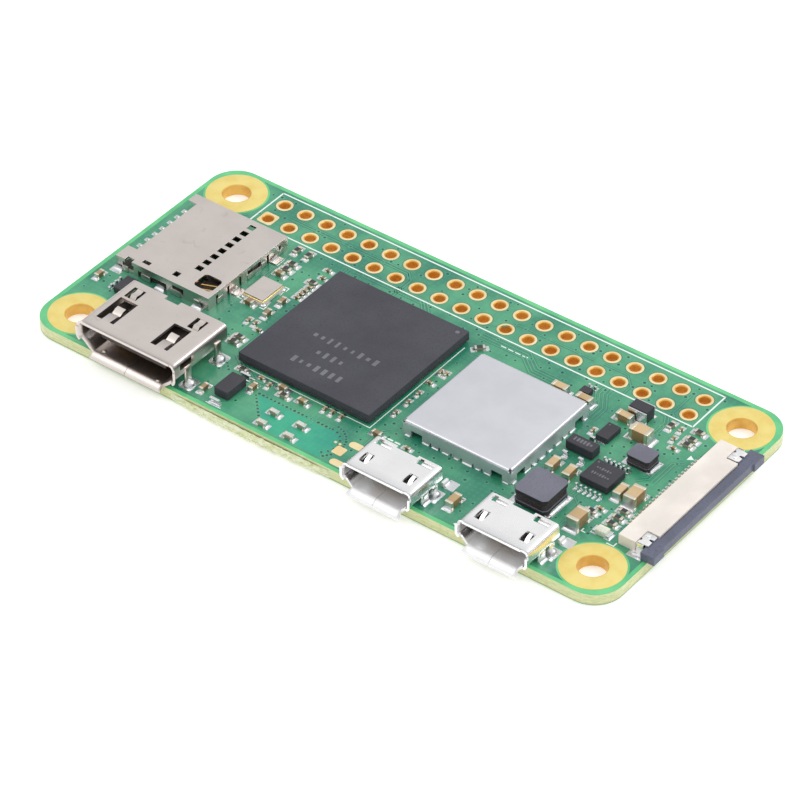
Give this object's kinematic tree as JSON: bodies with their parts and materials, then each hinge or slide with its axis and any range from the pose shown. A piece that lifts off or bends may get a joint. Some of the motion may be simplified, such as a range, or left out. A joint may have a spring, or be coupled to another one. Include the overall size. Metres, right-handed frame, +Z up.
{
  "type": "single board computer",
  "caption": "Small bare circuit board computer with a header hole row, processor, shielded radio, card slot, video, data and power sockets and a latched camera ribbon socket.",
  "frame": {"origin": "centre of the four mounting holes, which is the centre of the board, on the flat underside", "axes": "+X along the board towards the camera ribbon socket, +Y towards the header hole row, +Z up out of the component side"},
  "size_m": [0.0658, 0.0312, 0.0044],
  "materials": {
    "mask_green": "green solder mask over woven glass laminate",
    "gold_plating": "thin immersion gold over copper",
    "solder_tin": "bright tin solder",
    "dark_green_resin": "resin package substrate",
    "mould_black": "moulded epoxy",
    "shield_steel": "matt nickel silver sheet",
    "shell_steel": "nickel plated steel sheet",
    "bright_shell": "tin plated steel sheet",
    "socket_plastic": "glass filled nylon",
    "contact_gold": "gold plated bronze",
    "cream_plastic": "cream glass filled nylon",
    "slate_plastic": "dark glass filled nylon",
    "cream_ceramic": "fired ceramic",
    "ferrite_grey": "sintered ferrite",
    "winding_dark": "lacquered winding under black resin",
    "ceramic_tan": "fired barium titanate ceramic",
    "led_cream": "translucent lamp resin"
  },
  "bodies": {
    "board": {"pcb": "mask_green", "header_plated_holes": "gold_plating", "leg_slot_plating": "solder_tin", "processor_substrate": "dark_green_resin", "processor_cap": "mould_black", "processor_solder_balls": "solder_tin", "radio_shield_can": "shield_steel", "radio_chip": "mould_black", "radio_passives": "ceramic_tan", "card_socket_shell": "shell_steel", "card_socket_base": "socket_plastic", "card_socket_contacts": "contact_gold", "card_detect_springs": "contact_gold", "hdmi_shell": "shell_steel", "hdmi_insulator": "socket_plastic", "hdmi_contacts": "contact_gold", "usb_data_shell": "bright_shell", "usb_data_insulator": "socket_plastic", "usb_data_contacts": "contact_gold", "usb_power_shell": "bright_shell", "usb_power_insulator": "socket_plastic", "usb_power_contacts": "contact_gold", "camera_housing": "cream_plastic", "camera_contacts": "contact_gold", "camera_anchors": "solder_tin", "crystal_base": "cream_ceramic", "crystal_lid": "shell_steel", "power_inductor_core": "ferrite_grey", "power_inductor_winding": "winding_dark", "power_inductor_terminals": "solder_tin", "buck_inductor_core": "ferrite_grey", "buck_inductor_winding": "winding_dark", "buck_inductor_terminals": "solder_tin", "filter_inductor_body": "mould_black", "filter_inductor_terminals": "solder_tin", "power_ic_body": "mould_black", "power_ic_leads": "solder_tin", "regulator_body": "mould_black", "regulator_leads": "solder_tin", "switch_ic_body": "mould_black", "switch_ic_terminals": "solder_tin", "diode_body": "mould_black", "diode_leads": "solder_tin", "transistor_body": "mould_black", "transistor_leads": "solder_tin", "esd_array_body": "mould_black", "esd_array_leads": "solder_tin", "activity_led_body": "led_cream", "activity_led_terminals": "solder_tin", "large_capacitor_bodies": "ceramic_tan", "large_capacitor_terminals": "solder_tin", "medium_capacitor_bodies": "ceramic_tan", "medium_capacitor_terminals": "solder_tin", "small_capacitor_bodies": "ceramic_tan", "small_capacitor_terminals": "solder_tin", "tiny_capacitor_bodies": "ceramic_tan", "tiny_capacitor_terminals": "solder_tin", "resistor_bodies": "mould_black", "resistor_terminals": "solder_tin"},
    "camera_latch": {"camera_latch": "slate_plastic"}
  },
  "joints": [
    {"name": "camera_latch_slide", "type": "slide", "parent": "board", "child": "camera_latch", "axis": [1, 0, 0], "range_m": [0, 0.001]}
  ]
}
